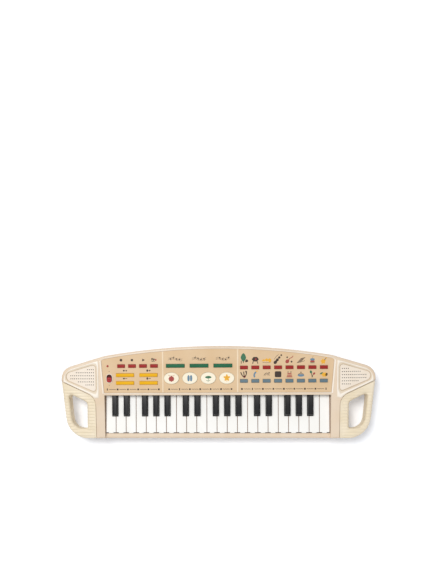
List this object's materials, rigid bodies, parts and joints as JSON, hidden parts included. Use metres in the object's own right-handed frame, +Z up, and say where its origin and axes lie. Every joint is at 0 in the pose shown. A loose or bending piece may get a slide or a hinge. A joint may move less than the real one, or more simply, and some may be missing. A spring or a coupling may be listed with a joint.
{
  "type": "portable toy keyboard",
  "caption": "Toy keyboard with sprung mini keys, banks of push buttons, drum pads, a speaker wing at each end and ribbed carrying grips.",
  "frame": {"origin": "on the surface that the keyboard stands on, under the middle of its plan", "axes": "+X along the keys towards the high notes, +Y to the rear, +Z up"},
  "size_m": [0.5326, 0.1566, 0.0485],
  "materials": {
    "cream_housing_abs": "satin",
    "cream_base_abs": "satin",
    "cream_grip_abs": "satin",
    "cream_grille_abs": "satin",
    "tan_panel_abs": "satin",
    "ivory_key_abs": "gloss",
    "black_key_abs": "satin",
    "red_button_abs": "satin",
    "yellow_button_abs": "satin",
    "green_button_abs": "satin",
    "blue_button_abs": "satin",
    "cream_pad_abs": "satin",
    "red_switch_abs": "satin",
    "brown_paper_board": "matte",
    "grey_silicone": "matte",
    "black_speaker": "matte"
  },
  "bodies": {
    "housing": {"upper_housing": "cream_housing_abs", "lower_housing": "cream_base_abs", "left_handle": "cream_grip_abs", "right_handle": "cream_grip_abs", "left_speaker_grille": "cream_grille_abs", "right_speaker_grille": "cream_grille_abs", "left_speaker": "black_speaker", "right_speaker": "black_speaker", "control_panel": "tan_panel_abs", "panel_board": "brown_paper_board", "key_board": "brown_paper_board", "contact_mat": "grey_silicone"},
    "battery_door": {"battery_door": "cream_base_abs"},
    "power_switch": {"power_switch": "red_switch_abs"},
    "drum_pad_1": {"drum_pad_1": "cream_pad_abs"},
    "drum_pad_2": {"drum_pad_2": "cream_pad_abs"},
    "drum_pad_3": {"drum_pad_3": "cream_pad_abs"},
    "drum_pad_4": {"drum_pad_4": "cream_pad_abs"},
    "transport_buttons": {"transport_buttons": "red_button_abs"},
    "level_buttons": {"level_buttons": "yellow_button_abs"},
    "song_buttons": {"song_buttons": "green_button_abs"},
    "voice_buttons": {"voice_buttons": "red_button_abs"},
    "rhythm_buttons": {"rhythm_buttons": "blue_button_abs"},
    "white_key_01": {"white_key_01": "ivory_key_abs"},
    "white_key_02": {"white_key_02": "ivory_key_abs"},
    "white_key_03": {"white_key_03": "ivory_key_abs"},
    "white_key_04": {"white_key_04": "ivory_key_abs"},
    "white_key_05": {"white_key_05": "ivory_key_abs"},
    "white_key_06": {"white_key_06": "ivory_key_abs"},
    "white_key_07": {"white_key_07": "ivory_key_abs"},
    "white_key_08": {"white_key_08": "ivory_key_abs"},
    "white_key_09": {"white_key_09": "ivory_key_abs"},
    "white_key_10": {"white_key_10": "ivory_key_abs"},
    "white_key_11": {"white_key_11": "ivory_key_abs"},
    "white_key_12": {"white_key_12": "ivory_key_abs"},
    "white_key_13": {"white_key_13": "ivory_key_abs"},
    "white_key_14": {"white_key_14": "ivory_key_abs"},
    "white_key_15": {"white_key_15": "ivory_key_abs"},
    "white_key_16": {"white_key_16": "ivory_key_abs"},
    "white_key_17": {"white_key_17": "ivory_key_abs"},
    "white_key_18": {"white_key_18": "ivory_key_abs"},
    "white_key_19": {"white_key_19": "ivory_key_abs"},
    "white_key_20": {"white_key_20": "ivory_key_abs"},
    "white_key_21": {"white_key_21": "ivory_key_abs"},
    "white_key_22": {"white_key_22": "ivory_key_abs"},
    "black_key_01": {"black_key_01": "black_key_abs"},
    "black_key_02": {"black_key_02": "black_key_abs"},
    "black_key_03": {"black_key_03": "black_key_abs"},
    "black_key_04": {"black_key_04": "black_key_abs"},
    "black_key_05": {"black_key_05": "black_key_abs"},
    "black_key_06": {"black_key_06": "black_key_abs"},
    "black_key_07": {"black_key_07": "black_key_abs"},
    "black_key_08": {"black_key_08": "black_key_abs"},
    "black_key_09": {"black_key_09": "black_key_abs"},
    "black_key_10": {"black_key_10": "black_key_abs"},
    "black_key_11": {"black_key_11": "black_key_abs"},
    "black_key_12": {"black_key_12": "black_key_abs"},
    "black_key_13": {"black_key_13": "black_key_abs"},
    "black_key_14": {"black_key_14": "black_key_abs"},
    "black_key_15": {"black_key_15": "black_key_abs"}
  },
  "joints": [
    {"name": "battery_door_hinge", "type": "hinge", "parent": "housing", "child": "battery_door", "pos_m": [0, 0.0185, 0.004], "axis": [-1, 0, 0], "range_deg": [0, 70]},
    {"name": "power_switch_slide", "type": "slide", "parent": "housing", "child": "power_switch", "axis": [0, 0.9976, 0.0698], "range_m": [0, 0.0044]},
    {"name": "drum_pad_1_slide", "type": "slide", "parent": "housing", "child": "drum_pad_1", "axis": [0, 0.0698, -0.9976], "range_m": [0, 0.0012], "stiffness_N_per_m": 400, "springref_m": -0.0005},
    {"name": "drum_pad_2_slide", "type": "slide", "parent": "housing", "child": "drum_pad_2", "axis": [0, 0.0698, -0.9976], "range_m": [0, 0.0012], "stiffness_N_per_m": 400, "springref_m": -0.0005},
    {"name": "drum_pad_3_slide", "type": "slide", "parent": "housing", "child": "drum_pad_3", "axis": [0, 0.0698, -0.9976], "range_m": [0, 0.0012], "stiffness_N_per_m": 400, "springref_m": -0.0005},
    {"name": "drum_pad_4_slide", "type": "slide", "parent": "housing", "child": "drum_pad_4", "axis": [0, 0.0698, -0.9976], "range_m": [0, 0.0012], "stiffness_N_per_m": 400, "springref_m": -0.0005},
    {"name": "transport_buttons_slide", "type": "slide", "parent": "housing", "child": "transport_buttons", "axis": [0, 0.0698, -0.9976], "range_m": [0, 0.0012], "stiffness_N_per_m": 400, "springref_m": -0.0005},
    {"name": "level_buttons_slide", "type": "slide", "parent": "housing", "child": "level_buttons", "axis": [0, 0.0698, -0.9976], "range_m": [0, 0.0012], "stiffness_N_per_m": 400, "springref_m": -0.0005},
    {"name": "song_buttons_slide", "type": "slide", "parent": "housing", "child": "song_buttons", "axis": [0, 0.0698, -0.9976], "range_m": [0, 0.0012], "stiffness_N_per_m": 400, "springref_m": -0.0005},
    {"name": "voice_buttons_slide", "type": "slide", "parent": "housing", "child": "voice_buttons", "axis": [0, 0.0698, -0.9976], "range_m": [0, 0.0012], "stiffness_N_per_m": 400, "springref_m": -0.0005},
    {"name": "rhythm_buttons_slide", "type": "slide", "parent": "housing", "child": "rhythm_buttons", "axis": [0, 0.0698, -0.9976], "range_m": [0, 0.0012], "stiffness_N_per_m": 400, "springref_m": -0.0005},
    {"name": "white_key_01_hinge", "type": "hinge", "parent": "housing", "child": "white_key_01", "pos_m": [-0.18465, 0.0176, 0.027], "axis": [1, 0, 0], "range_deg": [0, 2.56], "stiffness_Nm_per_rad": 0.5, "springref_deg": -1.72},
    {"name": "white_key_02_hinge", "type": "hinge", "parent": "housing", "child": "white_key_02", "pos_m": [-0.16435, 0.0176, 0.027], "axis": [1, 0, 0], "range_deg": [0, 2.56], "stiffness_Nm_per_rad": 0.5, "springref_deg": -1.72},
    {"name": "white_key_03_hinge", "type": "hinge", "parent": "housing", "child": "white_key_03", "pos_m": [-0.14405, 0.0176, 0.027], "axis": [1, 0, 0], "range_deg": [0, 2.56], "stiffness_Nm_per_rad": 0.5, "springref_deg": -1.72},
    {"name": "white_key_04_hinge", "type": "hinge", "parent": "housing", "child": "white_key_04", "pos_m": [-0.1331, 0.0176, 0.027], "axis": [1, 0, 0], "range_deg": [0, 2.56], "stiffness_Nm_per_rad": 0.5, "springref_deg": -1.72},
    {"name": "white_key_05_hinge", "type": "hinge", "parent": "housing", "child": "white_key_05", "pos_m": [-0.11342, 0.0176, 0.027], "axis": [1, 0, 0], "range_deg": [0, 2.56], "stiffness_Nm_per_rad": 0.5, "springref_deg": -1.72},
    {"name": "white_key_06_hinge", "type": "hinge", "parent": "housing", "child": "white_key_06", "pos_m": [-0.09417, 0.0176, 0.027], "axis": [1, 0, 0], "range_deg": [0, 2.56], "stiffness_Nm_per_rad": 0.5, "springref_deg": -1.72},
    {"name": "white_key_07_hinge", "type": "hinge", "parent": "housing", "child": "white_key_07", "pos_m": [-0.0745, 0.0176, 0.027], "axis": [1, 0, 0], "range_deg": [0, 2.56], "stiffness_Nm_per_rad": 0.5, "springref_deg": -1.72},
    {"name": "white_key_08_hinge", "type": "hinge", "parent": "housing", "child": "white_key_08", "pos_m": [-0.06355, 0.0176, 0.027], "axis": [1, 0, 0], "range_deg": [0, 2.56], "stiffness_Nm_per_rad": 0.5, "springref_deg": -1.72},
    {"name": "white_key_09_hinge", "type": "hinge", "parent": "housing", "child": "white_key_09", "pos_m": [-0.04325, 0.0176, 0.027], "axis": [1, 0, 0], "range_deg": [0, 2.56], "stiffness_Nm_per_rad": 0.5, "springref_deg": -1.72},
    {"name": "white_key_10_hinge", "type": "hinge", "parent": "housing", "child": "white_key_10", "pos_m": [-0.02295, 0.0176, 0.027], "axis": [1, 0, 0], "range_deg": [0, 2.56], "stiffness_Nm_per_rad": 0.5, "springref_deg": -1.72},
    {"name": "white_key_11_hinge", "type": "hinge", "parent": "housing", "child": "white_key_11", "pos_m": [-0.012, 0.0176, 0.027], "axis": [1, 0, 0], "range_deg": [0, 2.56], "stiffness_Nm_per_rad": 0.5, "springref_deg": -1.72},
    {"name": "white_key_12_hinge", "type": "hinge", "parent": "housing", "child": "white_key_12", "pos_m": [0.00768, 0.0176, 0.027], "axis": [1, 0, 0], "range_deg": [0, 2.56], "stiffness_Nm_per_rad": 0.5, "springref_deg": -1.72},
    {"name": "white_key_13_hinge", "type": "hinge", "parent": "housing", "child": "white_key_13", "pos_m": [0.02693, 0.0176, 0.027], "axis": [1, 0, 0], "range_deg": [0, 2.56], "stiffness_Nm_per_rad": 0.5, "springref_deg": -1.72},
    {"name": "white_key_14_hinge", "type": "hinge", "parent": "housing", "child": "white_key_14", "pos_m": [0.0466, 0.0176, 0.027], "axis": [1, 0, 0], "range_deg": [0, 2.56], "stiffness_Nm_per_rad": 0.5, "springref_deg": -1.72},
    {"name": "white_key_15_hinge", "type": "hinge", "parent": "housing", "child": "white_key_15", "pos_m": [0.05755, 0.0176, 0.027], "axis": [1, 0, 0], "range_deg": [0, 2.56], "stiffness_Nm_per_rad": 0.5, "springref_deg": -1.72},
    {"name": "white_key_16_hinge", "type": "hinge", "parent": "housing", "child": "white_key_16", "pos_m": [0.07785, 0.0176, 0.027], "axis": [1, 0, 0], "range_deg": [0, 2.56], "stiffness_Nm_per_rad": 0.5, "springref_deg": -1.72},
    {"name": "white_key_17_hinge", "type": "hinge", "parent": "housing", "child": "white_key_17", "pos_m": [0.09815, 0.0176, 0.027], "axis": [1, 0, 0], "range_deg": [0, 2.56], "stiffness_Nm_per_rad": 0.5, "springref_deg": -1.72},
    {"name": "white_key_18_hinge", "type": "hinge", "parent": "housing", "child": "white_key_18", "pos_m": [0.1091, 0.0176, 0.027], "axis": [1, 0, 0], "range_deg": [0, 2.56], "stiffness_Nm_per_rad": 0.5, "springref_deg": -1.72},
    {"name": "white_key_19_hinge", "type": "hinge", "parent": "housing", "child": "white_key_19", "pos_m": [0.12878, 0.0176, 0.027], "axis": [1, 0, 0], "range_deg": [0, 2.56], "stiffness_Nm_per_rad": 0.5, "springref_deg": -1.72},
    {"name": "white_key_20_hinge", "type": "hinge", "parent": "housing", "child": "white_key_20", "pos_m": [0.14802, 0.0176, 0.027], "axis": [1, 0, 0], "range_deg": [0, 2.56], "stiffness_Nm_per_rad": 0.5, "springref_deg": -1.72},
    {"name": "white_key_21_hinge", "type": "hinge", "parent": "housing", "child": "white_key_21", "pos_m": [0.1677, 0.0176, 0.027], "axis": [1, 0, 0], "range_deg": [0, 2.56], "stiffness_Nm_per_rad": 0.5, "springref_deg": -1.72},
    {"name": "white_key_22_hinge", "type": "hinge", "parent": "housing", "child": "white_key_22", "pos_m": [0.18165, 0.0176, 0.027], "axis": [1, 0, 0], "range_deg": [0, 2.56], "stiffness_Nm_per_rad": 0.5, "springref_deg": -1.72},
    {"name": "black_key_01_hinge", "type": "hinge", "parent": "housing", "child": "black_key_01", "pos_m": [-0.17425, 0.0176, 0.027], "axis": [1, 0, 0], "range_deg": [0, 2.56], "stiffness_Nm_per_rad": 0.5, "springref_deg": -1.72},
    {"name": "black_key_02_hinge", "type": "hinge", "parent": "housing", "child": "black_key_02", "pos_m": [-0.15445, 0.0176, 0.027], "axis": [1, 0, 0], "range_deg": [0, 2.56], "stiffness_Nm_per_rad": 0.5, "springref_deg": -1.72},
    {"name": "black_key_03_hinge", "type": "hinge", "parent": "housing", "child": "black_key_03", "pos_m": [-0.12305, 0.0176, 0.027], "axis": [1, 0, 0], "range_deg": [0, 2.56], "stiffness_Nm_per_rad": 0.5, "springref_deg": -1.72},
    {"name": "black_key_04_hinge", "type": "hinge", "parent": "housing", "child": "black_key_04", "pos_m": [-0.1038, 0.0176, 0.027], "axis": [1, 0, 0], "range_deg": [0, 2.56], "stiffness_Nm_per_rad": 0.5, "springref_deg": -1.72},
    {"name": "black_key_05_hinge", "type": "hinge", "parent": "housing", "child": "black_key_05", "pos_m": [-0.08455, 0.0176, 0.027], "axis": [1, 0, 0], "range_deg": [0, 2.56], "stiffness_Nm_per_rad": 0.5, "springref_deg": -1.72},
    {"name": "black_key_06_hinge", "type": "hinge", "parent": "housing", "child": "black_key_06", "pos_m": [-0.05315, 0.0176, 0.027], "axis": [1, 0, 0], "range_deg": [0, 2.56], "stiffness_Nm_per_rad": 0.5, "springref_deg": -1.72},
    {"name": "black_key_07_hinge", "type": "hinge", "parent": "housing", "child": "black_key_07", "pos_m": [-0.03335, 0.0176, 0.027], "axis": [1, 0, 0], "range_deg": [0, 2.56], "stiffness_Nm_per_rad": 0.5, "springref_deg": -1.72},
    {"name": "black_key_08_hinge", "type": "hinge", "parent": "housing", "child": "black_key_08", "pos_m": [-0.00195, 0.0176, 0.027], "axis": [1, 0, 0], "range_deg": [0, 2.56], "stiffness_Nm_per_rad": 0.5, "springref_deg": -1.72},
    {"name": "black_key_09_hinge", "type": "hinge", "parent": "housing", "child": "black_key_09", "pos_m": [0.0173, 0.0176, 0.027], "axis": [1, 0, 0], "range_deg": [0, 2.56], "stiffness_Nm_per_rad": 0.5, "springref_deg": -1.72},
    {"name": "black_key_10_hinge", "type": "hinge", "parent": "housing", "child": "black_key_10", "pos_m": [0.03655, 0.0176, 0.027], "axis": [1, 0, 0], "range_deg": [0, 2.56], "stiffness_Nm_per_rad": 0.5, "springref_deg": -1.72},
    {"name": "black_key_11_hinge", "type": "hinge", "parent": "housing", "child": "black_key_11", "pos_m": [0.06795, 0.0176, 0.027], "axis": [1, 0, 0], "range_deg": [0, 2.56], "stiffness_Nm_per_rad": 0.5, "springref_deg": -1.72},
    {"name": "black_key_12_hinge", "type": "hinge", "parent": "housing", "child": "black_key_12", "pos_m": [0.08775, 0.0176, 0.027], "axis": [1, 0, 0], "range_deg": [0, 2.56], "stiffness_Nm_per_rad": 0.5, "springref_deg": -1.72},
    {"name": "black_key_13_hinge", "type": "hinge", "parent": "housing", "child": "black_key_13", "pos_m": [0.11915, 0.0176, 0.027], "axis": [1, 0, 0], "range_deg": [0, 2.56], "stiffness_Nm_per_rad": 0.5, "springref_deg": -1.72},
    {"name": "black_key_14_hinge", "type": "hinge", "parent": "housing", "child": "black_key_14", "pos_m": [0.1384, 0.0176, 0.027], "axis": [1, 0, 0], "range_deg": [0, 2.56], "stiffness_Nm_per_rad": 0.5, "springref_deg": -1.72},
    {"name": "black_key_15_hinge", "type": "hinge", "parent": "housing", "child": "black_key_15", "pos_m": [0.15765, 0.0176, 0.027], "axis": [1, 0, 0], "range_deg": [0, 2.56], "stiffness_Nm_per_rad": 0.5, "springref_deg": -1.72}
  ]
}
